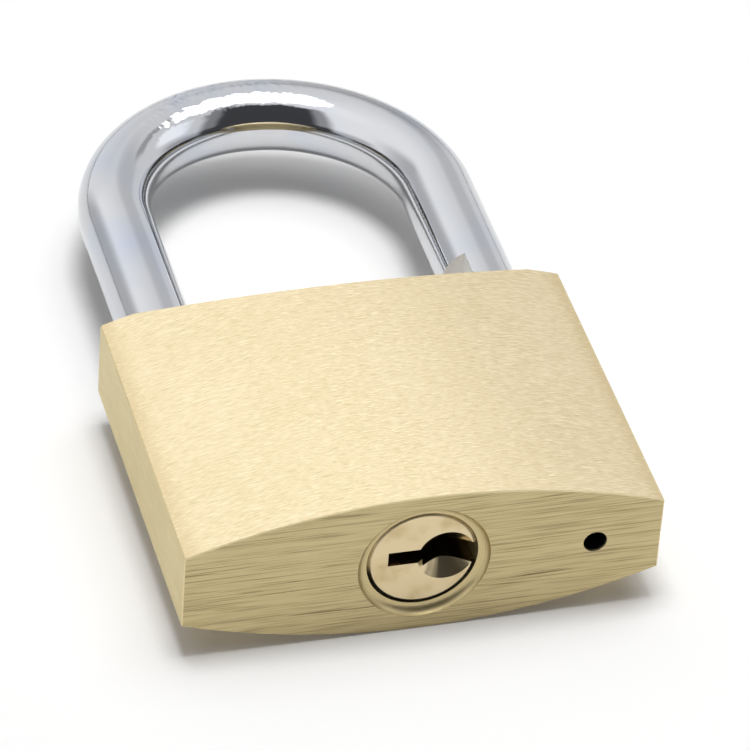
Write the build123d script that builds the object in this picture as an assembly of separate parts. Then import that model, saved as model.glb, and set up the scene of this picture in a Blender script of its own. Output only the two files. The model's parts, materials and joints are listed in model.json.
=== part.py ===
from build123d import *
import os
from math import cos, pi, sin, sqrt

# Brass padlock with a chromed shackle, lying on its bowed back and standing open.
# Pieces are modelled in lock axes: X across the body, Y up from its keyway end,
# Z out of its front face from mid-thickness. The export moves them to the part's frame.

# Lock body
body_width = 50.0
body_height = 38.4
body_thickness = 17.2
edge_thickness = 8.8
top_land = 11.0
top_bevel_angle = 48.0
edge_break = 0.12
drain_diameter = 2.5

# Shackle
shackle_diameter = 8.0
leg_side_wall = 2.9
open_clearance = 36.0
toe_end_gap = 0.4
toe_tip_length = 2.2
toe_chamfer = 0.8
notch_depth = 2.4
heel_neck_depth = 1.25
heel_neck_cover = 0.35
heel_collar_length = 1.8
heel_pin_diameter = 2.0
heel_pin_length = 2.6

# Shackle spring and its cap in the heel leg
spring_bore_diameter = 3.4
spring_bore_depth = 9.0
spring_cap_length = 1.0
shackle_spring_wire = 0.45
shackle_spring_turns = 12

# Cylinder plug
plug_diameter = 11.6
plug_recess = 0.8
plug_rim_chamfer = 0.3
plug_end = 21.0
seat_diameter = 13.9
keyway_height = 1.7
keyway_wide_height = 2.6
keyway_offset = 0.3
keyway_left_end = 3.6
keyway_step = 0.2
keyway_depth = 17.4
key_seat_diameter = 6.0
key_seat_depth = 2.5
key_seat_offset = 2.5
plug_groove_place = 19.4
plug_groove_depth = 1.0
plug_pin_diameter = 2.0
plug_pin_length = 8.0

# Tail cam
tail_diameter = 7.6
crank_pin_diameter = 2.2
tongue_width = 2.0
tongue_length = 7.0
tongue_depth = 1.8

# Latch bolt
latch_depth = 3.6
bolt_diameter = 3.4
bolt_tail_length = 4.0
bolt_bevel = 1.6
latch_spring_wire = 0.5
latch_spring_turns = 5
latch_spring_room = 5.8
side_plug_length = 2.4

# Pin stacks
pin_diameter = 2.3
pin_pitch = 2.8
first_pin = 3.5
key_pin_lengths = (2.7, 3.5, 3.1, 4.1)
pin_tip_length = 0.7
pin_tip_diameter = 0.9
pin_chamfer = 0.3
driver_length = 5.0
pin_chamber_floor = 0.9
chamber_plug_length = 2.5
driver_spring_wire = 0.3
driver_spring_turns = 8

# Clearances
leg_gap = 0.10
plug_gap = 0.05
slide_gap = 0.05
press_gap = 0.01
shear_gap = 0.03
seat_gap = 0.15
floor_gap = 0.30

# Worked out from the above
half_width = body_width / 2
leg_radius = shackle_diameter / 2
leg_hole_radius = leg_radius + leg_gap
leg_x = half_width - leg_side_wall - leg_hole_radius
bow_centre = body_height + open_clearance + leg_radius - leg_x
overall_length = bow_centre + leg_x + leg_radius

plug_radius = plug_diameter / 2
plug_bore_radius = plug_radius + plug_gap
pin_chamber_radius = pin_diameter / 2 + slide_gap
pin_places = [first_pin + i * pin_pitch for i in range(len(key_pin_lengths))]
key_pin_outer = -sqrt((plug_radius - shear_gap) ** 2 - (pin_diameter / 2 - pin_chamfer) ** 2)
driver_inner = -plug_bore_radius
driver_outer = driver_inner - driver_length
key_pin_drops = [-pin_chamber_floor - seat_gap - key_pin_outer - n for n in key_pin_lengths]
chamber_plug_inner = -half_width + chamber_plug_length

latch_y = body_height - latch_depth
bolt_radius = bolt_diameter / 2
cross_bore_radius = bolt_radius + slide_gap
bolt_nose_drawn = leg_x - leg_hole_radius - seat_gap
bolt_nose_locked = leg_x - leg_radius + notch_depth - seat_gap
latch_throw = bolt_nose_locked - bolt_nose_drawn

toe_end = body_height + toe_end_gap
notch_bottom = toe_end + toe_tip_length
notch_top = notch_bottom + bolt_diameter + 2 * seat_gap
shackle_lift = notch_bottom + seat_gap - (latch_y - bolt_radius)
toe_hole_floor = toe_end - shackle_lift - floor_gap

heel_pin_radius = heel_pin_diameter / 2
heel_neck_top = body_height - heel_neck_cover
heel_pin_y = heel_neck_top - shackle_lift - seat_gap - heel_pin_radius
heel_neck_bottom = heel_pin_y - heel_pin_radius - seat_gap
heel_end = heel_neck_bottom - heel_collar_length
heel_hole_floor = heel_end - shackle_lift - floor_gap
heel_neck_radius = leg_radius - heel_neck_depth
heel_pin_tip = -leg_x - heel_neck_radius - slide_gap
heel_pin_outer = heel_pin_tip - heel_pin_length

crank_radius = latch_throw
crank_pin_radius = crank_pin_diameter / 2
pocket_left = -crank_pin_radius - slide_gap
pocket_right = crank_radius + crank_pin_radius + slide_gap
bolt_tail_end = pocket_left - bolt_tail_length
latch_bore_end = bolt_tail_end - latch_spring_room
crank_pin_end = latch_y - seat_gap
tail_shoulder = latch_y - bolt_radius - floor_gap
cam_bore_radius = max(tail_diameter / 2, crank_radius + crank_pin_radius) + seat_gap

spring_bore_end = heel_end + spring_bore_depth
plug_pin_tip = plug_radius - plug_groove_depth + slide_gap
side_plug_inner = half_width - side_plug_length

to_part_frame = Location((0, -overall_length / 2, body_thickness / 2))
from_base = (Align.CENTER, Align.CENTER, Align.MIN)


def bar_y(x, radius, start, end):
    """A round bar along Y at mid-thickness."""
    return Pos(x, start, 0) * Rot(-90, 0, 0) * Cylinder(radius, end - start, align=from_base)


def bar_x(y, radius, start, end):
    """A round bar along X at mid-thickness."""
    return Pos(start, y, 0) * Rot(0, 90, 0) * Cylinder(radius, end - start, align=from_base)


def cone_y(x, radius, end_radius, start, end):
    """A cone frustum along Y at mid-thickness."""
    return Pos(x, start, 0) * Rot(-90, 0, 0) * Cone(radius, end_radius, end - start, align=from_base)


def cone_x(y, radius, end_radius, start, end):
    """A cone frustum along X at mid-thickness."""
    return Pos(start, y, 0) * Rot(0, 90, 0) * Cone(radius, end_radius, end - start, align=from_base)


def block(low, high):
    """A box between two opposite corners."""
    size = [b - a for a, b in zip(low, high)]
    middle = [(a + b) / 2 for a, b in zip(low, high)]
    return Pos(*middle) * Box(*size)


def coil(mean_radius, wire, length, turns):
    """A compression spring up from Z = 0: two tangent arcs for each quarter turn of its helix."""
    rise = (length - wire) / turns

    def place(quarter):
        angle = quarter * pi / 2
        height = wire / 2 + rise * quarter / 4
        return Vector(mean_radius * cos(angle), mean_radius * sin(angle), height)

    def direction(quarter):
        angle = quarter * pi / 2
        slope = rise / (2 * pi)
        return Vector(-mean_radius * sin(angle), mean_radius * cos(angle), slope).normalized()

    arcs = []
    for quarter in range(4 * turns):
        start, end = place(quarter), place(quarter + 1)
        leave, arrive = direction(quarter), direction(quarter + 1)
        chord = end - start
        bend = 2 * (1 - leave.dot(arrive))
        along = chord.dot(leave + arrive)
        reach = (sqrt(along**2 + bend * chord.dot(chord)) - along) / bend
        first_control = start + leave * reach
        last_control = end - arrive * reach
        middle = (first_control + last_control) / 2
        arcs.append(TangentArc(start, middle, tangent=leave))
        arcs.append(TangentArc(middle, end, tangent=last_control - first_control))
    section = Plane(origin=place(0), z_dir=direction(0)) * Circle(wire / 2)
    return sweep(section, path=Wire(arcs))


def make_seat_cutter():
    """Dish round the plug's face, flat at the plug and steep at its rim."""
    rim = seat_diameter / 2
    profile = Polyline((plug_bore_radius, plug_recess), (0, plug_recess), (0, 0), (rim, 0))
    profile += TangentArc((plug_bore_radius, plug_recess), (rim, 0), tangent=(1, 0))
    return revolve(make_face(profile), axis=Axis.Y)


def make_lock_body():
    """Bowed block with bevelled top edges, drilled for the shackle, plug, pins and latch."""
    edge = edge_thickness / 2
    bulge = body_thickness / 2
    outline = ThreePointArc((-half_width, edge), (0, bulge), (half_width, edge))
    outline += Line((half_width, edge), (half_width, -edge))
    outline += ThreePointArc((half_width, -edge), (0, -bulge), (-half_width, -edge))
    outline += Line((-half_width, -edge), (-half_width, edge))
    body = extrude(Plane.XZ * make_face(outline), amount=-body_height)

    bevel_rise = bulge - top_land / 2
    bevel_drop = bevel_rise * cos(top_bevel_angle * pi / 180) / sin(top_bevel_angle * pi / 180)
    bevel = Polyline(
        (body_height, top_land / 2),
        (body_height, bulge),
        (body_height - bevel_drop, bulge),
        close=True,
    )
    bevel_bar = extrude(Plane.YZ * make_face(bevel), amount=half_width, both=True)
    body -= bevel_bar + mirror(bevel_bar, about=Plane.XY)
    bottom_face = body.faces().sort_by(Axis.Y)[0]
    side_edges = body.edges().filter_by(Axis.Y)
    body = chamfer(bottom_face.edges() + side_edges, length=edge_break)

    body -= bar_y(-leg_x, leg_hole_radius, heel_hole_floor, body_height)
    body -= bar_y(leg_x, leg_hole_radius, toe_hole_floor, body_height)
    body -= bar_y(leg_x, drain_diameter / 2, 0, toe_hole_floor)
    body -= bar_y(0, plug_bore_radius, 0, plug_end + seat_gap)
    body -= make_seat_cutter()
    body -= bar_y(0, cam_bore_radius, plug_end, crank_pin_end + floor_gap)
    body -= bar_x(latch_y, cross_bore_radius, latch_bore_end, half_width)
    body -= bar_x(heel_pin_y, heel_pin_radius + press_gap, -half_width, -leg_x)
    body -= bar_x(plug_groove_place, plug_pin_diameter / 2 + press_gap, 0, half_width)
    for y in pin_places:
        body -= bar_x(y, pin_chamber_radius, -half_width, -plug_radius / 2)
    return body


def make_shackle():
    """Round bar bent to a bow; the heel has a neck, a collar and a bore, the toe is notched."""
    path = Line((-leg_x, heel_end), (-leg_x, bow_centre))
    path += ThreePointArc((-leg_x, bow_centre), (0, bow_centre + leg_x), (leg_x, bow_centre))
    path += Line((leg_x, bow_centre), (leg_x, toe_end))
    section = Pos(-leg_x, heel_end, 0) * Rot(-90, 0, 0) * Circle(leg_radius)
    shackle = sweep(section, path=path)

    toe_face = shackle.faces().filter_by(Plane.XZ).sort_by(Axis.X)[-1]
    shackle = chamfer(toe_face.edges(), length=toe_chamfer)
    notch_left = leg_x - leg_radius
    shackle -= block(
        (notch_left, notch_bottom, -leg_radius),
        (notch_left + notch_depth, notch_top, leg_radius),
    )

    waste = bar_y(-leg_x, leg_hole_radius, heel_neck_bottom, heel_neck_top)
    waste -= bar_y(-leg_x, heel_neck_radius, heel_neck_bottom, heel_neck_top)
    shackle -= waste
    shackle -= bar_y(-leg_x, spring_bore_diameter / 2, heel_end, spring_bore_end)
    return shackle


def make_spring_cap():
    """Thrust cap at the blind end of the heel leg's spring bore."""
    end = spring_bore_end - slide_gap
    return bar_y(-leg_x, spring_bore_diameter / 2 - slide_gap, end - spring_cap_length, end)


def make_shackle_spring():
    """Spring from the floor of the heel hole to the thrust cap."""
    top = spring_bore_end - slide_gap - spring_cap_length - press_gap
    outer = spring_bore_diameter / 2 - 2 * slide_gap
    bottom = heel_hole_floor + press_gap
    spring = coil(outer - shackle_spring_wire / 2, shackle_spring_wire, top - bottom, shackle_spring_turns)
    return Pos(-leg_x, bottom, 0) * Rot(-90, 0, 0) * spring


def make_cylinder_plug():
    """Plug with a stepped keyway, a dished key seat, pin holes, a retaining groove and a rear slot."""
    rim_end = plug_recess + plug_rim_chamfer
    plug = bar_y(0, plug_radius, rim_end, plug_end)
    plug += cone_y(0, plug_radius - plug_rim_chamfer, plug_radius, plug_recess, rim_end)
    keyway_end = plug_recess + keyway_depth
    plug -= block(
        (-keyway_left_end, plug_recess, keyway_offset - keyway_height / 2),
        (keyway_step, keyway_end, keyway_offset + keyway_height / 2),
    )
    plug -= block(
        (keyway_step, plug_recess, -keyway_wide_height / 2),
        (plug_radius, keyway_end, keyway_wide_height / 2),
    )
    seat_end = plug_recess + key_seat_depth
    plug -= cone_y(key_seat_offset, key_seat_diameter / 2, 0, plug_recess, seat_end)
    for y in pin_places:
        plug -= bar_x(y, pin_chamber_radius, -plug_radius, -pin_chamber_floor)
    groove_low = plug_groove_place - plug_pin_diameter / 2 - slide_gap
    groove_high = plug_groove_place + plug_pin_diameter / 2 + slide_gap
    groove = bar_y(0, plug_bore_radius, groove_low, groove_high)
    groove -= bar_y(0, plug_radius - plug_groove_depth, groove_low, groove_high)
    plug -= groove
    half_slot = tongue_width / 2 + press_gap
    plug -= block(
        (-tongue_length / 2 - press_gap, plug_end - tongue_depth - press_gap, -half_slot),
        (tongue_length / 2 + press_gap, plug_end, half_slot),
    )
    return plug


def make_tail_cam():
    """Tailpiece with a tongue in the plug's rear slot and an off-centre crank pin."""
    half_tongue = tongue_width / 2
    cam = bar_y(0, tail_diameter / 2, plug_end, tail_shoulder)
    cam += block(
        (-tongue_length / 2, plug_end - tongue_depth, -half_tongue),
        (tongue_length / 2, plug_end, half_tongue),
    )
    cam += bar_y(crank_radius, crank_pin_radius, tail_shoulder, crank_pin_end)
    return cam


def make_plug_retaining_pin():
    """Pin from the right, with its end in the plug's groove."""
    return bar_x(plug_groove_place, plug_pin_diameter / 2, plug_pin_tip, plug_pin_tip + plug_pin_length)


def make_retainer_bore_plug():
    """Closes the retaining pin's drilling, flush with the right side."""
    return bar_x(plug_groove_place, plug_pin_diameter / 2, side_plug_inner, half_width)


def make_latch_bolt():
    """Round bolt with a slanted nose and a pocket underneath for the crank pin, drawn back."""
    bolt = bar_x(latch_y, bolt_radius, bolt_tail_end, bolt_nose_drawn)
    bolt -= block(
        (pocket_left, latch_y - bolt_radius, -bolt_radius),
        (pocket_right, latch_y, bolt_radius),
    )
    nose = Polyline(
        (bolt_nose_drawn - bolt_bevel, latch_y + bolt_radius),
        (bolt_nose_drawn, latch_y + bolt_radius),
        (bolt_nose_drawn, latch_y + bolt_radius - bolt_bevel),
        close=True,
    )
    bolt -= extrude(make_face(nose), amount=bolt_radius, both=True)
    return bolt


def make_latch_spring():
    """Spring between the blind end of the cross bore and the bolt."""
    start = latch_bore_end + press_gap
    length = bolt_tail_end - press_gap - start
    outer = bolt_radius - 2 * slide_gap
    spring = coil(outer - latch_spring_wire / 2, latch_spring_wire, length, latch_spring_turns)
    return Pos(start, latch_y, 0) * Rot(0, 90, 0) * spring


def make_heel_retaining_pin():
    """Pin from the left, with its end beside the heel leg's neck and over its collar."""
    return bar_x(heel_pin_y, heel_pin_radius, heel_pin_outer, heel_pin_tip)


def make_heel_bore_plug():
    """Closes the heel pin's drilling, flush with the left side."""
    return bar_x(heel_pin_y, heel_pin_radius, -half_width, heel_pin_outer - press_gap)


def make_latch_bore_plug():
    """Closes the cross bore, flush with the right side."""
    return bar_x(latch_y, cross_bore_radius - press_gap, side_plug_inner, half_width)


def make_key_pin(y, length):
    """Pointed pin in the plug, with its outer end at the shear line."""
    tip = key_pin_outer + length
    shank_end = tip - pin_tip_length
    shank_start = key_pin_outer + pin_chamfer
    pin = bar_x(y, pin_diameter / 2, shank_start, shank_end)
    pin += cone_x(y, pin_diameter / 2 - pin_chamfer, pin_diameter / 2, key_pin_outer, shank_start)
    pin += cone_x(y, pin_diameter / 2, pin_tip_diameter / 2, shank_end, tip)
    return pin


def make_driver_pin(y):
    """Plain pin in the body, with its inner end at the shear line."""
    return bar_x(y, pin_diameter / 2, driver_outer, driver_inner)


def make_driver_spring(y):
    """Spring between a driver pin and its chamber plug."""
    start = chamber_plug_inner + press_gap
    length = driver_outer - press_gap - start
    outer = pin_diameter / 2 - slide_gap
    spring = coil(outer - driver_spring_wire / 2, driver_spring_wire, length, driver_spring_turns)
    return Pos(start, y, 0) * Rot(0, 90, 0) * spring


def make_chamber_plugs():
    """Plugs that close the pin drillings, flush with the left side."""
    radius = pin_chamber_radius - press_gap
    return [bar_x(y, radius, -half_width, chamber_plug_inner) for y in pin_places]


pieces = {
    "lock_body": make_lock_body(),
    "shackle": make_shackle(),
    "spring_cap": make_spring_cap(),
    "shackle_spring": make_shackle_spring(),
    "heel_retaining_pin": make_heel_retaining_pin(),
    "heel_bore_plug": make_heel_bore_plug(),
    "cylinder_plug": make_cylinder_plug(),
    "tail_cam": make_tail_cam(),
    "plug_retaining_pin": make_plug_retaining_pin(),
    "retainer_bore_plug": make_retainer_bore_plug(),
    "latch_bolt": make_latch_bolt(),
    "latch_spring": make_latch_spring(),
    "latch_bore_plug": make_latch_bore_plug(),
    "chamber_plugs": Compound(children=make_chamber_plugs()),
}
for number, (pin_y, pin_length) in enumerate(zip(pin_places, key_pin_lengths), 1):
    pieces[f"key_pin_{number}"] = make_key_pin(pin_y, pin_length)
    pieces[f"driver_pin_{number}"] = make_driver_pin(pin_y)
    pieces[f"driver_spring_{number}"] = make_driver_spring(pin_y)

os.makedirs("parts", exist_ok=True)
for name, piece in pieces.items():
    export_step(to_part_frame * piece, f"parts/{name}.step")
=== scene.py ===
import json
import math

import bpy
from bpy.props import FloatProperty, FloatVectorProperty, IntProperty, PointerProperty
from mathutils import Matrix, Vector


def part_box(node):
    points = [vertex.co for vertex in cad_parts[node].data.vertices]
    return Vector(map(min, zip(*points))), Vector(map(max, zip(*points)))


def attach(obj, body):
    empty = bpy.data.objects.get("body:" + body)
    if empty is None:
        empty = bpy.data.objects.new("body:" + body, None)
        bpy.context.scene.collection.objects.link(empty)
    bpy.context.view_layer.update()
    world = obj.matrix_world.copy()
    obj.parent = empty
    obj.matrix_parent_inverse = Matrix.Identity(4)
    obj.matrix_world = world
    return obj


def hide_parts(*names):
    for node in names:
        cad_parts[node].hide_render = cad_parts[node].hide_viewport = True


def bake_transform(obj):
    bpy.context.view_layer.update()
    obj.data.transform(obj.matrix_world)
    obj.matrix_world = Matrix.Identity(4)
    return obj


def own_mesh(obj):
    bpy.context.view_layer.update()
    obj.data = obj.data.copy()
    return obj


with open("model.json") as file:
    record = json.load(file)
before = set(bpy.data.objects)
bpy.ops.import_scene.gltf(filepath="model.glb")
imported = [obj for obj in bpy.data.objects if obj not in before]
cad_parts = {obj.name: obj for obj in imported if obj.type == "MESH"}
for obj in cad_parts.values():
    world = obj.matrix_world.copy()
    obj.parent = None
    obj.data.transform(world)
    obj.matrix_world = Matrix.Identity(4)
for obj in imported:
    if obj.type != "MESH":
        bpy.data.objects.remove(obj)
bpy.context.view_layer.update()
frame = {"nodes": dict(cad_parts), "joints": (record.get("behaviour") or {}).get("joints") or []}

bl_info = {
    "name": "Open brass padlock",
    "version": (1, 0, 0),
    "blender": (4, 5, 0),
    "location": "3D View > Sidebar > Padlock",
    "description": "Finishes, shackle bar, springs and stage for the packed padlock",
    "category": "Object",
}

BODY_LOW, BODY_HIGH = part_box("lock_body")
BAR_LOW, BAR_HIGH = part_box("shackle")
PLUG_LOW, PLUG_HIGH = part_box("cylinder_plug")
PINS = sorted(int(name.rsplit("_", 1)[1]) for name in frame["nodes"] if name.startswith("key_pin_"))
SHACKLE_LIFT = next(-joint["range_m"][0] for joint in frame["joints"] if joint["name"] == "shackle_lift")

# The shackle's lines, in metres
MID_Z = (BODY_LOW.z + BODY_HIGH.z) / 2
BAR_RADIUS = (BAR_HIGH.z - BAR_LOW.z) / 2
LEG_X = BAR_HIGH.x - BAR_RADIUS
BOW_CENTRE = BAR_HIGH.y - BAR_RADIUS - LEG_X

# Places and widths that the materials read, in millimetres
MM = 1000
MID_Z_MM = MID_Z * MM
BOW_CENTRE_MM = BOW_CENTRE * MM
KEY_END_MM = BODY_LOW.y * MM
HALF_WIDTH_MM = BODY_HIGH.x * MM
EDGE_FADE_MM = 2.4
SEAT_RADIUS_MM = 6.95
SEAT_DEPTH_MM = 1.0
PLUG_RADIUS_MM = (PLUG_HIGH.z - PLUG_LOW.z) / 2 * MM
PLUG_FACE_MM = PLUG_LOW.y * MM
RIM_MM = 0.4
DRAIN_X_MM = LEG_X * MM
DRAIN_RADIUS_MM = 1.35
DRAIN_EDGE_MM = 0.25

# Depth of each finish's relief, in metres
BRUSH_DEPTH = 1.6e-5
PLATE_DEPTH = 6e-5
LATHE_DEPTH = 6e-6
WIRE_DEPTH = 4e-6

# Mesh fineness
SHARP_ANGLE = math.radians(32)
COIL_STEPS = 40
WIRE_SIDES = 14

# Names of the bar's lengths, and how far a cutting tool stands out of it in metres
BAR_SIZES = (
    "Heel End", "Bow Centre", "Toe End", "Leg Offset", "Bar Radius", "Mid Height", "Toe Chamfer",
    "Notch Low", "Notch High", "Notch Depth", "Neck Low", "Neck High", "Neck Radius",
    "Bore Radius", "Bore End",
)
CUT_SPARE = 0.0002

# Floor: half its width and its height in metres, and the strength of its own light
FLOOR_HALF = 4.0
FLOOR_DROP = -0.00002
FLOOR_LIFT = 0.06

# Lamps: sizes and places in metres
SOFTBOX_SIZE = (0.62, 0.38)
SOFTBOX_PLACE = (0.15, 0.06, 0.55)
SOFTBOX_TURN = math.radians(22)
KEY_SIZE = (0.2, 0.2)
KEY_PLACE = (-0.02, -0.01, 0.55)
SKY_SIZE = (2.6, 2.6)
SKY_PLACE = (0.0, 0.5, 1.3)

# Camera
SENSOR_MM = 36.0

# Light of the room that the metal mirrors
WALL_LEFT = (1.2, 1.205, 1.22)
WALL_RIGHT = (0.9, 0.905, 0.92)
ROOM_DARK = (0.07, 0.07, 0.075)
LOW_PANEL = (1.35, 1.37, 1.42)
HIGH_PANEL = (1.25, 1.26, 1.28)


def paint(red, green, blue):
    """Scene-linear colour of a screen colour given in 0 to 255."""
    def linear(value):
        share = value / 255
        return share / 12.92 if share <= 0.04045 else ((share + 0.055) / 1.055) ** 2.4
    return linear(red), linear(green), linear(blue)


def colour(name, description, default):
    return FloatVectorProperty(
        name=name, description=description, subtype="COLOR", size=3, min=0, max=1, default=default
    )


def length(name, description, default):
    return FloatProperty(name=name, description=description, default=default, unit="LENGTH", precision=5)


def angle(name, description, degrees):
    return FloatProperty(name=name, description=description, default=math.radians(degrees), subtype="ANGLE")


def lamp_power(name, description, watts):
    return FloatProperty(name=name, description=description, default=watts, min=0, unit="POWER")


def count(name, description, default, low=3, high=600):
    return IntProperty(name=name, description=description, default=default, min=low, max=high)


class PadlockFinish(bpy.types.PropertyGroup):
    brass: colour("Brass", "Light tone of the brushed front and back", paint(250, 236, 202))
    brass_shade: colour("Brass shade", "Dark tone between the brush lines", paint(222, 202, 158))
    # The end and side tones are set darker than the front's brass: partly their own finish, partly painted
    # shade
    end_brass_and_shade: colour("End brass", "Light tone of the two ends", paint(198, 182, 138))
    end_scratch: colour("End scratch", "Dark lines along the two ends", paint(112, 96, 62))
    side_brass_and_shade: colour("Side brass", "Light tone of the narrow sides", paint(216, 203, 157))
    side_shade: colour("Side shade", "Dark tone of the narrow sides", paint(196, 179, 129))
    edge_brass: colour("Edge brass", "Worn tone along the body's edges", paint(236, 219, 172))
    # Painted shade: a near-black colour inside the drain hole stands in for the hole's shade
    drain: colour("Drain", "Dirt inside the drain hole", paint(14, 11, 8))
    plug: colour("Plug", "Polished brass of the cylinder plug", paint(216, 198, 160))
    plug_stain: colour("Plug stain", "Faint darker patches on the plug", paint(186, 163, 118))
    # Painted shade: a near-black colour in the lower part of the plug's rim, where the gap is shaded
    rim_shade_colour: colour("Rim grime", "Dirt in the lower part of the plug's rim", paint(22, 17, 11))
    chrome: colour("Chrome", "Mirror plate of the shackle", paint(202, 203, 205))
    chrome_tint: colour("Chrome tint", "Cool patches of the plate", paint(189, 195, 208))
    ground: colour("Ground steel", "Matt faces ground across the bar", paint(250, 250, 250))
    pin_brass: colour("Pin brass", "Turned brass of the pins", paint(226, 204, 148))
    steel: colour("Steel", "Turned steel of the bolt and retaining pins", paint(196, 196, 198))
    wire: colour("Spring wire", "Drawn steel of the springs", paint(186, 188, 194))


class PadlockBar(bpy.types.PropertyGroup):
    toe_end: length("Toe end", "Place of the toe leg's end along the lock", -0.0024)
    toe_chamfer: length("Toe chamfer", "Length of the toe leg's chamfer", 0.0008)
    notch_low: length("Notch low", "Lower side of the locking notch", -0.0002)
    notch_high: length("Notch high", "Shoulder of the locking notch", 0.0035)
    notch_depth: length("Notch depth", "How far the notch cuts into the bar", 0.0024)
    neck_low: length("Neck low", "Top of the heel leg's collar", -0.0135)
    neck_high: length("Neck high", "Top of the heel leg's neck", -0.00315)
    neck_radius: length("Neck radius", "Radius of the heel leg's neck", 0.00275)
    bore_radius: length("Bore radius", "Radius of the heel leg's spring bore", 0.0017)
    bore_end: length("Bore end", "Blind end of the spring bore", -0.0063)
    sections: count("Sections", "Rings along the bar", 340, low=40)
    sides: count("Sides", "Sides of the round bar", 96, low=16, high=160)


class PadlockSprings(bpy.types.PropertyGroup):
    shackle_wire: length("Shackle wire", "Wire of the shackle spring", 0.00045)
    shackle_turns: count("Shackle turns", "Turns of the shackle spring", 12)
    latch_wire: length("Latch wire", "Wire of the latch spring", 0.0005)
    latch_turns: count("Latch turns", "Turns of the latch spring", 5)
    driver_wire: length("Driver wire", "Wire of the driver springs", 0.0003)
    driver_turns: count("Driver turns", "Turns of each driver spring", 8)


class PadlockStage(bpy.types.PropertyGroup):
    azimuth: angle("Azimuth", "Camera's turn round the lock", -17.54)
    elevation: angle("Elevation", "Camera's height angle", 38.21)
    roll: angle("Roll", "Camera's tilt", 4.37)
    distance: length("Distance", "Camera to the point it looks at", 0.56484)
    target: FloatVectorProperty(
        name="Target",
        description="Point the camera looks at",
        subtype="TRANSLATION",
        default=(0.0029, -0.01072, 0.0086),
    )
    lens: FloatProperty(name="Lens", description="Focal length", default=257.95, unit="CAMERA")
    softbox_power: lamp_power("Softbox", "Power of the lamp that the metal mirrors", 1.08)
    key_power: lamp_power("Key", "Power of the small lamp for the floor's shadows", 1.8)
    sky_power: lamp_power("Sky", "Power of the wide lamp over the floor", 12.5)
    floor: colour("Floor", "Colour of the floor", (0.8, 0.8, 0.8))


class Wire:
    """A socket of a node tree. Sums of wires and numbers add Math nodes."""

    def __init__(self, tree, socket=None):
        self.tree = tree
        self.socket = socket

    def node(self, kind, settings=None, sockets=None, output=0):
        """Adds a node, sets its settings and then its sockets, and gives an output, if it has one."""
        made = self.tree.nodes.new(kind)
        for name, value in (settings or {}).items():
            setattr(made, name, value)
        for key, value in (sockets or {}).items():
            for part in value if isinstance(value, list) else [value]:
                if isinstance(part, Wire):
                    self.tree.links.new(part.socket, made.inputs[key])
                else:
                    made.inputs[key].default_value = part
        return Wire(self.tree, made.outputs[output] if made.outputs else None)

    def outputs(self):
        """All outputs of this socket's node."""
        return [Wire(self.tree, socket) for socket in self.socket.node.outputs]

    def maths(self, operation, *values):
        return self.node("ShaderNodeMath", {"operation": operation}, dict(enumerate(values)))

    def __add__(self, other):
        return self.maths("ADD", self, other)

    def __sub__(self, other):
        return self.maths("SUBTRACT", self, other)

    def __rsub__(self, other):
        return self.maths("SUBTRACT", other, self)

    def __mul__(self, other):
        return self.maths("MULTIPLY", self, other)

    def __truediv__(self, other):
        return self.maths("DIVIDE", self, other)

    def __lt__(self, other):
        return self.maths("LESS_THAN", self, other)

    def __gt__(self, other):
        return self.maths("GREATER_THAN", self, other)

    def __abs__(self):
        return self.maths("ABSOLUTE", self)

    __radd__ = __add__
    __rmul__ = __mul__

    def ramp(self, low, high):
        """0 at low and 1 at high, smooth between them and level past them."""
        return self.node(
            "ShaderNodeMapRange",
            {"interpolation_type": "SMOOTHSTEP", "clamp": True},
            {"Value": self, "From Min": low, "From Max": high},
        )

    def vector(self, x=0.0, y=0.0, z=0.0):
        """A vector of three values."""
        return self.node("ShaderNodeCombineXYZ", {}, {"X": x, "Y": y, "Z": z})

    def split(self):
        """X, Y and Z of a vector."""
        return self.node("ShaderNodeSeparateXYZ", {}, {0: self}).outputs()

    def reach(self):
        """Length of a vector."""
        return self.node("ShaderNodeVectorMath", {"operation": "LENGTH"}, {0: self}, "Value")

    def stretched(self, scale):
        return self.node("ShaderNodeVectorMath", {"operation": "MULTIPLY"}, {0: self, 1: scale})

    def noise(self, scale, detail=2.0, roughness=0.5):
        """Noise from 0 to 1 on this vector. Its scale is in cells per unit along X, Y and Z."""
        return self.node("ShaderNodeTexNoise", {}, {
            "Vector": self.stretched(scale), "Scale": 1.0, "Detail": detail, "Roughness": roughness,
        })

    def blend(self, first, second):
        """Colour from first to second, by this value."""
        pair = [value if isinstance(value, Wire) else (*value, 1) for value in (first, second)]
        return self.node("ShaderNodeMix", {"data_type": "RGBA"}, {0: self, 6: pair[0], 7: pair[1]}, 2)

    def between(self, first, second):
        """Number from first to second, by this value."""
        return first + self * (second - first)


def blank(owner):
    """A wire at the start of a material's or a room's emptied node tree."""
    owner.use_nodes = True
    owner.node_tree.nodes.clear()
    return Wire(owner.node_tree)


def metal(name, fill):
    """New metal: fill gives base colour, roughness, metallic share, bump height and the bump's depth."""
    material = bpy.data.materials.new(name)
    start = blank(material)
    base, roughness, metallic, height, depth = fill(start)
    bump = start.node("ShaderNodeBump", {}, {"Strength": 1.0, "Distance": depth, "Height": height})
    shader = start.node(
        "ShaderNodeBsdfPrincipled",
        {},
        {"Base Color": base, "Roughness": roughness, "Metallic": metallic, "Normal": bump},
    )
    start.node("ShaderNodeOutputMaterial", {}, {"Surface": shader})
    return material


def in_millimetres(start):
    """Place in millimetres, and the surface's direction, both in the piece's own axes."""
    place = start.node("ShaderNodeTexCoord", {}, {}, "Object").stretched((MM, MM, MM))
    facing = start.node("ShaderNodeTexCoord", {}, {}, "Normal")
    return place, facing


def from_axis(start, x, z):
    """Distance from a line along Y at mid-thickness."""
    return start.vector(x, 0.0, z - MID_Z_MM).reach()


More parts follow.
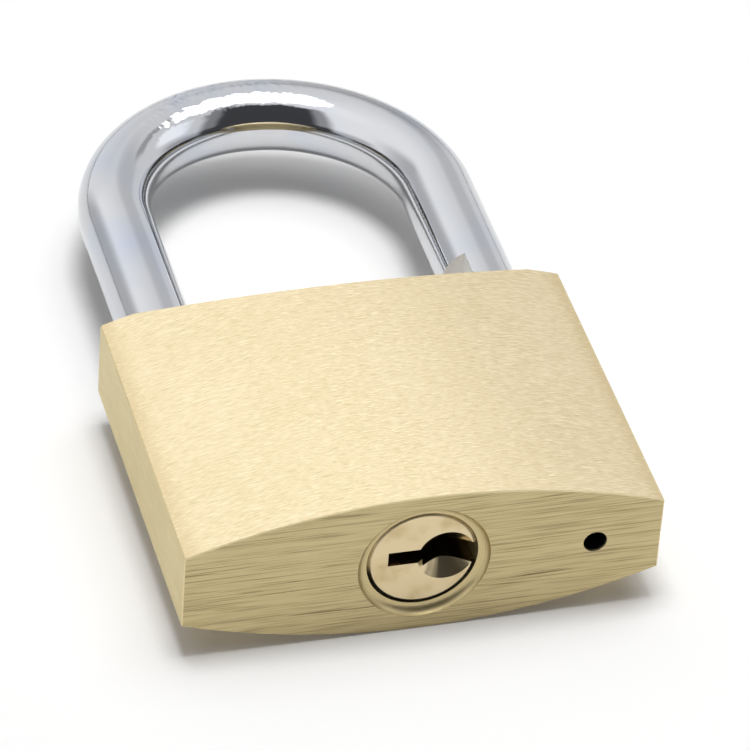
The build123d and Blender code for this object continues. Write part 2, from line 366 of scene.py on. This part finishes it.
def face_lines(place, cloud, finish):
    """Short lines across the front and back, darker towards the long edges: colour, roughness and relief.
    """
    x, _, _ = place.split()
    fine = place.noise((1.1, 11.0, 0.3), 2.0, 0.6)
    bright = place.noise((0.7, 7.5, 0.3), 1.0).ramp(0.6, 0.74)
    dark = place.noise((0.6, 8.3, 0.27), 1.0).ramp(0.6, 0.76)
    tone = 0.5 + (fine - 0.5) * 2.0 + (cloud - 0.5) * 0.3 + bright * 0.8 - dark * 0.6
    tone = tone - abs(x).ramp(HALF_WIDTH_MM - EDGE_FADE_MM, HALF_WIDTH_MM) * 0.45
    tint = tone.blend(finish.brass_shade, finish.brass)
    return tint, 0.43 + (fine - 0.5) * 0.25, fine * 0.7 + bright * 0.4 - dark * 0.4


def end_lines(place, cloud, finish):
    """Long lines and a few gouges along the two ends: colour, roughness and relief."""
    long_lines = place.noise((0.03, 0.3, 6.5), 2.0, 0.6)
    short_lines = place.noise((0.2, 0.3, 9.5), 1.0, 0.6)
    drawn = place.noise((0.01, 0.2, 1.3), 1.0)
    deep = place.noise((0.012, 0.3, 2.6), 0.0)
    where = place.noise((0.05, 0.3, 0.9), 1.0)
    gouge = (1 - abs(drawn - 0.5).ramp(0.0, 0.014)) * where.ramp(0.46, 0.6)
    gouge = gouge + (1 - abs(deep - 0.52).ramp(0.0, 0.022)) * where.ramp(0.58, 0.45) * 0.6
    worn = gouge * 0.7 + (0.62 - long_lines).ramp(0.0, 0.4) * 0.4
    worn = worn + (0.5 - short_lines) * 1.5 + (cloud - 0.5) * 0.2
    # Painted shade in part: both end tones are darker than the front's brass
    tint = worn.blend(finish.end_brass_and_shade, finish.end_scratch)
    return tint, 0.34 + (long_lines - 0.5) * 0.2, long_lines * 0.4 + short_lines * 0.3 - gouge * 0.6


def side_grain(place, cloud, finish):
    """Soft patches and fine lines along the narrow sides: colour, roughness and relief."""
    soft = place.noise((0.3, 0.25, 1.1), 3.0)
    grain = place.noise((0.8, 0.5, 6.0), 2.0, 0.6)
    tone = 0.5 + (soft - 0.5) * 0.8 + (grain - 0.5) * 1.1 + (cloud - 0.5) * 0.8
    # Painted shade in part: the side tones are darker than the front's brass
    return tone.blend(finish.side_shade, finish.side_brass_and_shade), 0.46, soft * 0.3 + grain * 0.4


def seat_rings(start, reach, finish):
    """Turned rings of the seat round the plug: colour, roughness and relief."""
    rings = start.node("ShaderNodeTexNoise", {}, {"Vector": start.vector(reach * 9.0), "Scale": 1.0})
    # The seat's light tone is the sides' darker brass, partly painted shade
    return rings.blend(finish.plug_stain, finish.side_brass_and_shade), 0.38, rings * 0.3


def brushed_brass(finish):
    """The body's brass: lines or grain on each face, ends and sides darkened partly by painted shade, worn
    edges, the turned seat and painted shade in the drain hole.
    """
    def fill(start):
        place, facing = in_millimetres(start)
        x, y, z = place.split()
        face_x, face_y, _ = facing.split()
        end = abs(face_y).ramp(0.77, 0.87)
        side = abs(face_x).ramp(0.75, 0.85)
        reach = from_axis(start, x, z)
        seat = (reach < SEAT_RADIUS_MM) * (y < KEY_END_MM + SEAT_DEPTH_MM)
        # Painted shade: the inside of the drain hole is coloured near-black and made matt
        drain = (from_axis(start, x - DRAIN_X_MM, z) < DRAIN_RADIUS_MM) * (y > KEY_END_MM + DRAIN_EDGE_MM)
        slant = start.maths("MAXIMUM", abs(face_x), 0 - face_y)
        edge = slant.ramp(0.5, 0.6) * (1 - slant.ramp(0.8, 0.9)) * (1 - seat)
        edge = edge * (1 - abs(face_x).ramp(0.3, 0.6) * 0.7)

        cloud = place.noise((0.09, 0.09, 0.09), 2.0)
        tint, roughness, height = face_lines(place, cloud, finish)
        layers = (
            (side, side_grain(place, cloud, finish)),
            (end, end_lines(place, cloud, finish)),
            (seat, seat_rings(start, reach, finish)),
        )
        for mask, (layer_tint, layer_roughness, layer_height) in layers:
            tint = mask.blend(tint, layer_tint)
            roughness = mask.between(roughness, layer_roughness)
            height = mask.between(height, layer_height)
        tint = drain.blend(edge.blend(tint, finish.edge_brass), finish.drain)
        return tint, roughness, 1 - edge * 0.65 - drain, height, BRUSH_DEPTH
    return metal("brushed_brass", fill)


def mirror_chrome(finish, bar):
    """Bright plate with cool patches, a wrinkled bow, hairline wear, and matt ground faces at the notch."""
    notch_low = bar.notch_low * MM
    notch_high = bar.notch_high * MM

    def fill(start):
        place, facing = in_millimetres(start)
        x, y, z = place.split()
        face_x, face_y, face_z = facing.split()
        on_legs = 1 - y.ramp(BOW_CENTRE_MM - 6, BOW_CENTRE_MM - 5)
        shoulder = (0 - face_y).ramp(0.93, 0.98) * on_legs
        flat = (0 - face_x).ramp(0.93, 0.98) * (x > 0) * (y > notch_low) * (y < notch_high)
        cut = start.maths("MAXIMUM", shoulder, flat)
        # The plate wrinkles on top of the bow, mostly left of its middle
        bent = y.ramp(BOW_CENTRE_MM + 2, BOW_CENTRE_MM + 10) * face_z.ramp(0.68, 0.85)
        bent = bent * x.ramp(-14, -9) * (1 - x.ramp(3, 8) * 0.8)
        patch = place.noise((0.11, 0.07, 0.11), 2.0).ramp(0.4, 0.75)
        hair = place.noise((2.2, 0.12, 2.2), 3.0, 0.6)
        wave = place.noise((0.3, 0.3, 0.3), 1.0)
        wrinkle = place.noise((0.9, 0.9, 0.9), 1.2, 0.5)
        base = cut.blend(patch.blend(finish.chrome, finish.chrome_tint), finish.ground)
        roughness = cut.between(0.075 + (hair - 0.5) * 0.08, 0.5)
        height = bent * wrinkle * 1.4 + wave * 0.2 + hair * 0.01
        # The ground faces slope a little, so that they take the light
        height = height + cut * (MID_Z_MM - z) * 6.0
        return base, roughness, 1 - cut, height, PLATE_DEPTH
    return metal("mirror_chrome", fill)


def polished_plug(finish):
    """Turned and polished brass with faint rings round the plug's axis, stains and painted shade in the
    lower part of its rim.
    """
    def fill(start):
        place, _ = in_millimetres(start)
        x, y, z = place.split()
        reach = from_axis(start, x, z)
        turned = start.vector(reach * 7.0, y * 5.0)
        rings = start.node("ShaderNodeTexNoise", {}, {"Vector": turned, "Scale": 1.0, "Detail": 2.0})
        stain = place.noise((0.35, 0.35, 0.35), 3.0)
        rim = (reach > PLUG_RADIUS_MM - RIM_MM) * (y < PLUG_FACE_MM + RIM_MM)
        # Painted shade in the gap round the plug: the rim goes dark towards its lower part
        painted_rim_shade = rim * (1 - (z - MID_Z_MM).ramp(-1.5, 0.5))
        base = (stain.ramp(0.45, 0.75) * 0.7).blend(finish.plug, finish.plug_stain)
        base = painted_rim_shade.blend(base, finish.rim_shade_colour)
        roughness = 0.17 + (stain - 0.5) * 0.12 + (rings - 0.5) * 0.08
        return base, roughness, 1 - rim * 0.6, rings * 0.4 + stain * 0.5, LATHE_DEPTH
    return metal("polished_plug", fill)


def turned_metal(name, tone, shade):
    """Lathe rings along X, as the pins and the bolt lie, with a darker tone in the grooves."""
    def fill(start):
        place, _ = in_millimetres(start)
        rings = place.noise((7.0, 0.4, 0.4), 2.0)
        cloud = place.noise((0.5, 0.5, 0.5), 2.0)
        base = (rings * 0.6 + cloud * 0.4).ramp(0.3, 0.7).blend([value * shade for value in tone], tone)
        return base, 0.28 + (rings - 0.5) * 0.2, 1.0, rings, LATHE_DEPTH
    return metal(name, fill)


def drawn_wire(finish):
    """Drawn steel wire with a fine grain."""
    def fill(start):
        place, _ = in_millimetres(start)
        grain = place.noise((6.0, 6.0, 6.0), 3.0)
        base = grain.ramp(0.3, 0.7).blend([value * 0.75 for value in finish.wire], finish.wire)
        return base, 0.3 + (grain - 0.5) * 0.2, 1.0, grain, WIRE_DEPTH
    return metal("drawn_wire", fill)


def dress(node, material):
    """Puts one material on a CAD node."""
    slots = frame["nodes"][node].data.materials
    slots.clear()
    slots.append(material)


def shape_tree(name, inputs):
    """A Geometry Nodes tree with named inputs and one mesh output, and a wire for each input."""
    tree = bpy.data.node_groups.new(name, "GeometryNodeTree")
    for label, kind in inputs.items():
        tree.interface.new_socket(name=label, in_out="INPUT", socket_type="NodeSocket" + kind)
    tree.interface.new_socket(name="Mesh", in_out="OUTPUT", socket_type="NodeSocketGeometry")
    start = Wire(tree).node("NodeGroupInput")
    return tree, dict(zip(inputs, start.outputs()))


def finish_tree(mesh, material):
    """Smooth faces, sharp corners, real geometry and its material at the end of a mesh's tree."""
    smooth = mesh.node("GeometryNodeSetShadeSmooth", {"domain": "FACE"}, {"Geometry": mesh})
    corner = mesh.node("GeometryNodeInputMeshEdgeAngle") > SHARP_ANGLE
    sharp = mesh.node("GeometryNodeSetShadeSmooth", {"domain": "EDGE"}, {
        "Geometry": smooth, "Selection": corner, "Shade Smooth": False,
    })
    real = mesh.node("GeometryNodeRealizeInstances", {}, {"Geometry": sharp})
    done = mesh.node("GeometryNodeSetMaterial", {}, {"Geometry": real, "Material": material})
    mesh.node("NodeGroupOutput", {}, {0: done})


def grown(name, tree, values):
    """Runs a tree with these values and gives its result as a plain mesh object."""
    piece = bpy.data.objects.new(name, bpy.data.meshes.new(name))
    shape = piece.modifiers.new("shape", "NODES")
    shape.node_group = tree
    for item in tree.interface.items_tree:
        if item.in_out == "INPUT":
            shape[item.identifier] = values[item.name]
    bpy.context.scene.collection.objects.link(piece)
    ready = piece.evaluated_get(bpy.context.evaluated_depsgraph_get())
    mesh = bpy.data.meshes.new_from_object(ready)
    mesh.name = name
    piece.modifiers.clear()
    piece.data = mesh
    if not mesh.polygons:
        raise RuntimeError(f"{name} came out empty")
    return piece


def swept(start, path, radius, sides):
    """A round bar along a path, with closed ends."""
    ring = {"Resolution": sides, "Radius": radius}
    section = start.node("GeometryNodeCurvePrimitiveCircle", {"mode": "RADIUS"}, ring)
    bar = {"Curve": path, "Profile Curve": section, "Fill Caps": True}
    return start.node("GeometryNodeCurveToMesh", {}, bar)


def moved(start, shape, place, turned=(0, 0, 0)):
    """A shape turned round the origin, then moved."""
    way = {"Geometry": shape, "Translation": place, "Rotation": turned}
    return start.node("GeometryNodeTransform", {}, way)


def coil_tree():
    """A round wire wound up from its base, then turned and moved into place."""
    tree, size = shape_tree("coil_spring", {
        "Radius": "Float", "Wire": "Float", "Length": "Float", "Turns": "Int",
        "Turned": "Vector", "Base": "Vector", "Material": "Material",
    })
    start = Wire(tree)
    thin = size["Wire"] * 0.5
    mean = size["Radius"] - thin
    path = start.node("GeometryNodeCurveSpiral", {}, {
        "Resolution": COIL_STEPS, "Rotations": size["Turns"], "Start Radius": mean, "End Radius": mean,
        "Height": size["Length"] - size["Wire"],
    })
    path = moved(start, path, start.vector(z=thin))
    coil = moved(start, swept(start, path, thin, WIRE_SIDES), size["Base"], size["Turned"])
    finish_tree(coil, size["Material"])
    return tree


def bent_rod(start, size):
    """A round bar up the heel leg, round the bow and down the toe leg."""
    leg = size["Leg Offset"]
    heel_run = size["Bow Centre"] - size["Heel End"]
    bow_run = leg * math.pi
    toe_run = size["Bow Centre"] - size["Toe End"]
    line = start.node("GeometryNodeCurvePrimitiveLine")
    line = start.node("GeometryNodeResampleCurve", {}, {"Curve": line, "Count": size["Sections"]})
    travel = start.node("GeometryNodeSplineParameter") * (heel_run + bow_run + toe_run)
    past_heel = travel - heel_run
    past_bow = past_heel - bow_run
    turn = start.maths("MINIMUM", start.maths("MAXIMUM", past_heel / bow_run, 0.0), 1.0) * math.pi
    across = 0 - leg * start.maths("COSINE", turn)
    along = size["Bow Centre"] + leg * start.maths("SINE", turn)
    along = along + start.maths("MINIMUM", past_heel, 0.0) - start.maths("MAXIMUM", past_bow, 0.0)
    place = start.vector(across, along, size["Mid Height"])
    path = start.node("GeometryNodeSetPosition", {}, {"Geometry": line, "Position": place})
    return swept(start, path, size["Bar Radius"], size["Sides"])


def bar_tree():
    """The bent rod, cut for the heel's neck and spring bore and the toe's chamfer and notch."""
    inputs = {name: "Float" for name in BAR_SIZES}
    inputs.update({"Sections": "Int", "Sides": "Int", "Material": "Material"})
    tree, size = shape_tree("shackle_bar", inputs)
    start = Wire(tree)
    bar, mid = size["Bar Radius"], size["Mid Height"]
    toe_x = size["Leg Offset"]
    heel_x = 0 - toe_x
    wide = bar * 1.2

    def tool(x, low, high, radius_low, radius_high):
        """A round tool along the leg at x, between two places."""
        made = start.node("GeometryNodeMeshCone", {"fill_type": "NGON"}, {
            "Vertices": size["Sides"], "Radius Bottom": radius_low, "Radius Top": radius_high,
            "Depth": high - low,
        })
        return moved(start, made, start.vector(x, low, mid), (-math.pi / 2, 0, 0))

    def cut(body, tools):
        way = {"operation": "DIFFERENCE", "solver": "EXACT"}
        return start.node("GeometryNodeMeshBoolean", way, {0: body, 1: tools})

    def ring(x, low, high, inner_low, inner_high):
        """A tool that takes away all of the leg that stands outside a cone."""
        core = tool(x, low - CUT_SPARE, high + CUT_SPARE, inner_low, inner_high)
        return cut(tool(x, low, high, wide, wide), [core])

    neck = ring(heel_x, size["Neck Low"], size["Neck High"], size["Neck Radius"], size["Neck Radius"])
    bore_low = size["Heel End"] - CUT_SPARE
    bore = tool(heel_x, bore_low, size["Bore End"], size["Bore Radius"], size["Bore Radius"])
    toe_low = size["Toe End"] - CUT_SPARE
    toe_high = size["Toe End"] + size["Toe Chamfer"]
    toe = ring(toe_x, toe_low, toe_high, bar - size["Toe Chamfer"] - 2 * CUT_SPARE, bar + CUT_SPARE)
    notch_width = size["Notch Depth"] + CUT_SPARE
    notch_size = start.vector(notch_width, size["Notch High"] - size["Notch Low"], bar * 3)
    notch_x = toe_x - bar + size["Notch Depth"] - notch_width * 0.5
    notch_y = (size["Notch High"] + size["Notch Low"]) * 0.5
    notch = start.node("GeometryNodeMeshCube", {}, {"Size": notch_size})
    notch = moved(start, notch, start.vector(notch_x, notch_y, mid))
    finish_tree(cut(bent_rod(start, size), [neck, bore, toe, notch]), size["Material"])
    return tree


class PADLOCK_OT_body(bpy.types.Operator):
    """Brushes the brass body and the plugs that are ground flush with it"""

    bl_idname = "padlock.body"
    bl_label = "Lock body"

    def execute(self, context):
        brass = brushed_brass(context.scene.padlock_finish)
        dress("lock_body", brass)
        for node in ("chamber_plugs", "latch_bore_plug", "retainer_bore_plug", "heel_bore_plug"):
            dress(node, brass)
        return {"FINISHED"}


class PADLOCK_OT_shackle(bpy.types.Operator):
    """Grows the chromed bar of the shackle with its notch, chamfer, neck and spring bore"""

    bl_idname = "padlock.shackle"
    bl_label = "Shackle"

    def execute(self, context):
        size = context.scene.padlock_bar
        chrome = mirror_chrome(context.scene.padlock_finish, size)
        bar = grown("shackle_bar", bar_tree(), {
            "Heel End": BAR_LOW.y, "Bow Centre": BOW_CENTRE, "Leg Offset": LEG_X,
            "Bar Radius": BAR_RADIUS, "Mid Height": MID_Z,
            "Toe End": size.toe_end, "Toe Chamfer": size.toe_chamfer,
            "Notch Low": size.notch_low, "Notch High": size.notch_high, "Notch Depth": size.notch_depth,
            "Neck Low": size.neck_low, "Neck High": size.neck_high, "Neck Radius": size.neck_radius,
            "Bore Radius": size.bore_radius, "Bore End": size.bore_end,
            "Sections": size.sections, "Sides": size.sides, "Material": chrome,
        })
        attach(bar, "shackle")
        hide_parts("shackle")
        dress("shackle", chrome)
        return {"FINISHED"}


class PADLOCK_OT_cylinder(bpy.types.Operator):
    """Polishes the cylinder plug and its tail cam"""

    bl_idname = "padlock.cylinder"
    bl_label = "Cylinder plug"

    def execute(self, context):
        brass = polished_plug(context.scene.padlock_finish)
        for node in ("cylinder_plug", "tail_cam"):
            dress(node, brass)
        return {"FINISHED"}


class PADLOCK_OT_pins(bpy.types.Operator):
    """Finishes the brass pin stacks and the steel bolt, cap and retaining pins"""

    bl_idname = "padlock.pins"
    bl_label = "Pins and bolt"

    def execute(self, context):
        finish = context.scene.padlock_finish
        brass = turned_metal("turned_brass", finish.pin_brass, shade=0.8)
        steel = turned_metal("turned_steel", finish.steel, shade=0.75)
        for number in PINS:
            dress(f"key_pin_{number}", brass)
            dress(f"driver_pin_{number}", brass)
        for node in ("latch_bolt", "heel_retaining_pin", "plug_retaining_pin", "spring_cap"):
            dress(node, steel)
        return {"FINISHED"}


class PADLOCK_OT_springs(bpy.types.Operator):
    """Winds the shackle, latch and driver springs"""

    bl_idname = "padlock.springs"
    bl_label = "Springs"

    def execute(self, context):
        size = context.scene.padlock_springs
        wire = drawn_wire(context.scene.padlock_finish)
        tree = coil_tree()
        x_axis, y_axis = 0, 1
        turned = {x_axis: (0, math.pi / 2, 0), y_axis: (-math.pi / 2, 0, 0)}

        def wind(node, axis, thickness, turns):
            """A coil in a CAD spring's place, along X or Y, and its two ends."""
            low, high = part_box(node)
            middle = (low + high) / 2
            base, tip = middle.copy(), middle.copy()
            base[axis], tip[axis] = low[axis], high[axis]
            coil = grown(node + "_coil", tree, {
                "Radius": (high.z - low.z) / 2, "Wire": thickness, "Length": high[axis] - low[axis],
                "Turns": turns, "Turned": turned[axis], "Base": base, "Material": wire,
            })
            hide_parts(node)
            dress(node, wire)
            return coil, base, tip

        coil, base, tip = wind("shackle_spring", y_axis, size.shackle_wire, size.shackle_turns)
        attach(coil, "lock_body")
        1 - SHACKLE_LIFT / (tip - base).length
        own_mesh(coil)
        coil, base, tip = wind("latch_spring", x_axis, size.latch_wire, size.latch_turns)
        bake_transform(coil)
        for number in PINS:
            coil, base, tip = wind(f"driver_spring_{number}", x_axis, size.driver_wire, size.driver_turns)
            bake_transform(coil)
        return {"FINISHED"}


class PADLOCK_OT_stage(bpy.types.Operator):
    """Sets the floor, the soft light, the room and the camera"""

    bl_idname = "padlock.stage"
    bl_label = "Stage"

    def execute(self, context):
        scene, stage = context.scene, context.scene.padlock_stage
        scene.view_settings.view_transform = "Standard"
        self.lay_floor(scene, stage)
        self.hang_lamp(scene, "softbox", SOFTBOX_SIZE, SOFTBOX_PLACE, stage.softbox_power, SOFTBOX_TURN)
        self.hang_lamp(scene, "key", KEY_SIZE, KEY_PLACE, stage.key_power, in_mirrors=False)
        self.hang_lamp(scene, "sky", SKY_SIZE, SKY_PLACE, stage.sky_power, in_mirrors=False)
        self.paint_room(scene)
        self.place_camera(scene, stage)
        return {"FINISHED"}

    def lay_floor(self, scene, stage):
        """A wide pale sheet under the lock, a little lighter where it is seen or mirrored."""
        mesh = bpy.data.meshes.new("floor")
        signs = ((-1, -1), (1, -1), (1, 1), (-1, 1))
        corners = [(x * FLOOR_HALF, y * FLOOR_HALF, FLOOR_DROP) for x, y in signs]
        mesh.from_pydata(corners, [], [(0, 1, 2, 3)])
        floor = bpy.data.objects.new("floor", mesh)
        scene.collection.objects.link(floor)
        paper = bpy.data.materials.new("floor_paper")
        start = blank(paper)
        matt = start.node("ShaderNodeBsdfDiffuse", {}, {"Color": (*stage.floor, 1)})
        lift = start.node("ShaderNodeEmission", {}, {"Color": (1, 1, 1, 1), "Strength": FLOOR_LIFT})
        lifted = start.node("ShaderNodeAddShader", {}, {0: matt, 1: lift})
        rays = ("Is Camera Ray", "Is Glossy Ray", "Is Transmission Ray")
        seen = [start.node("ShaderNodeLightPath", {}, {}, ray) for ray in rays]
        shown = start.maths("MAXIMUM", start.maths("MAXIMUM", seen[0], seen[1]), seen[2])
        mixed = start.node("ShaderNodeMixShader", {}, {0: shown, 1: matt, 2: lifted})
        start.node("ShaderNodeOutputMaterial", {}, {"Surface": mixed})
        mesh.materials.append(paper)

    def hang_lamp(self, scene, name, size, place, power, turned=0.0, in_mirrors=True):
        """A round soft lamp that faces down. One kept out of mirrors lights only the matt surfaces."""
        lamp = bpy.data.lights.new(name, "AREA")
        lamp.shape = "ELLIPSE"
        lamp.size, lamp.size_y = size
        lamp.energy = power
        hung = bpy.data.objects.new(name, lamp)
        hung.location = place
        hung.rotation_euler.z = turned
        hung.visible_glossy = in_mirrors
        scene.collection.objects.link(hung)

    def paint_room(self, scene):
        """A pale room that shows in the metal and doesn't light the floor."""
        room = bpy.data.worlds.new("room")
        scene.world = room
        room.cycles_visibility.diffuse = False
        start = blank(room)
        x, y, z = start.node("ShaderNodeTexCoord", {}, {}, "Generated").split()
        ahead = (0 - y) / start.vector(x, y).reach()
        low_panel = x.ramp(0.5, 0.7) * ahead.ramp(-0.25, -0.1) * (1 - ahead.ramp(0.25, 0.45))
        low_panel = low_panel * z.ramp(0.28, 0.4) * (1 - z.ramp(0.62, 0.7))
        high_panel = (z * 0.895 - x * 0.445).ramp(0.945, 0.999)
        shade = x.ramp(-0.5, 0.5).blend(WALL_LEFT, WALL_RIGHT)
        shade = self.room_dark(x, y, z, ahead).blend(shade, ROOM_DARK)
        shade = low_panel.blend(shade, LOW_PANEL)
        shade = high_panel.blend(shade, HIGH_PANEL)
        glow = start.node("ShaderNodeBackground", {}, {"Color": shade, "Strength": 1.0})
        start.node("ShaderNodeOutputWorld", {}, {"Surface": glow})

    def room_dark(self, x, y, z, ahead):
        """How dark the room is in a direction: a dark front wall, softer patches and a low skirt."""
        front = (ahead.ramp(0.5, 0.65) * 0.7 + ahead.ramp(0.7, 0.8) * 0.3) * (1 - z.ramp(0.84, 0.9))
        left = (0 - x).ramp(0.4, 0.62) * y.ramp(-0.1, 0.7) * (1 - z.ramp(0.34, 0.6))
        right = (x * 0.5 + y * 0.76 + z * 0.42).ramp(0.93, 0.99) * z.ramp(0.2, 0.36)
        back = y.ramp(0.78, 0.88) * (0.1 + x.ramp(0.1, 0.4) * 0.25)
        streak = ahead.ramp(-0.68, -0.6) * (1 - ahead.ramp(-0.5, -0.42)) * x.ramp(0.2, 0.4)
        streak = streak * z.ramp(0.42, 0.56) * (1 - z.ramp(0.72, 0.8))
        skirt = (1 - y.ramp(-0.1, 0.2)) * (1 - z.ramp(0.12, 0.3))
        return front + left * 0.5 + right * 0.2 + back + streak * 0.5 + skirt * 0.5

    def place_camera(self, scene, stage):
        """A camera at the stage's angles and distance from its target, tilted by the roll."""
        turn, rise, roll = stage.azimuth, stage.elevation, stage.roll
        back = Vector((math.sin(turn) * math.cos(rise), -math.cos(turn) * math.cos(rise), math.sin(rise)))
        right = (-back).cross(Vector((0, 0, 1))).normalized()
        up = right.cross(-back)
        across = math.cos(roll) * right + math.sin(roll) * up
        upward = math.cos(roll) * up - math.sin(roll) * right
        lens = bpy.data.cameras.new("camera")
        lens.sensor_width = SENSOR_MM
        lens.lens = stage.lens
        lens.clip_start, lens.clip_end = 0.01, 20.0
        camera = bpy.data.objects.new("camera", lens)
        place = Vector(stage.target) + stage.distance * back
        turned = Matrix((across, upward, back)).transposed().to_4x4()
        camera.matrix_world = Matrix.Translation(place) @ turned
        scene.collection.objects.link(camera)
        scene.camera = camera


class PADLOCK_PT_sidebar(bpy.types.Panel):
    """Lists the padlock's pieces and its stage"""

    bl_idname = "PADLOCK_PT_sidebar"
    bl_label = "Padlock"
    bl_space_type = "VIEW_3D"
    bl_region_type = "UI"
    bl_category = "Padlock"

    def draw(self, context):
        for operator in OPERATORS:
            self.layout.operator(operator.bl_idname)
        for group in GROUPS:
            settings = getattr(context.scene, group)
            for name in settings.__annotations__:
                self.layout.prop(settings, name)


GROUPS = {
    "padlock_finish": PadlockFinish,
    "padlock_bar": PadlockBar,
    "padlock_springs": PadlockSprings,
    "padlock_stage": PadlockStage,
}
OPERATORS = (
    PADLOCK_OT_body,
    PADLOCK_OT_shackle,
    PADLOCK_OT_cylinder,
    PADLOCK_OT_pins,
    PADLOCK_OT_springs,
    PADLOCK_OT_stage,
)


def register():
    for made in (*GROUPS.values(), *OPERATORS, PADLOCK_PT_sidebar):
        bpy.utils.register_class(made)
    for name, group in GROUPS.items():
        setattr(bpy.types.Scene, name, PointerProperty(type=group))


def unregister():
    for name in GROUPS:
        delattr(bpy.types.Scene, name)
    for made in (PADLOCK_PT_sidebar, *reversed(OPERATORS), *reversed(tuple(GROUPS.values()))):
        bpy.utils.unregister_class(made)


def main():
    register()
    bpy.ops.padlock.body()
    bpy.ops.padlock.shackle()
    bpy.ops.padlock.cylinder()
    bpy.ops.padlock.pins()
    bpy.ops.padlock.springs()
    bpy.ops.padlock.stage()


if __name__ == "__main__":
    main()
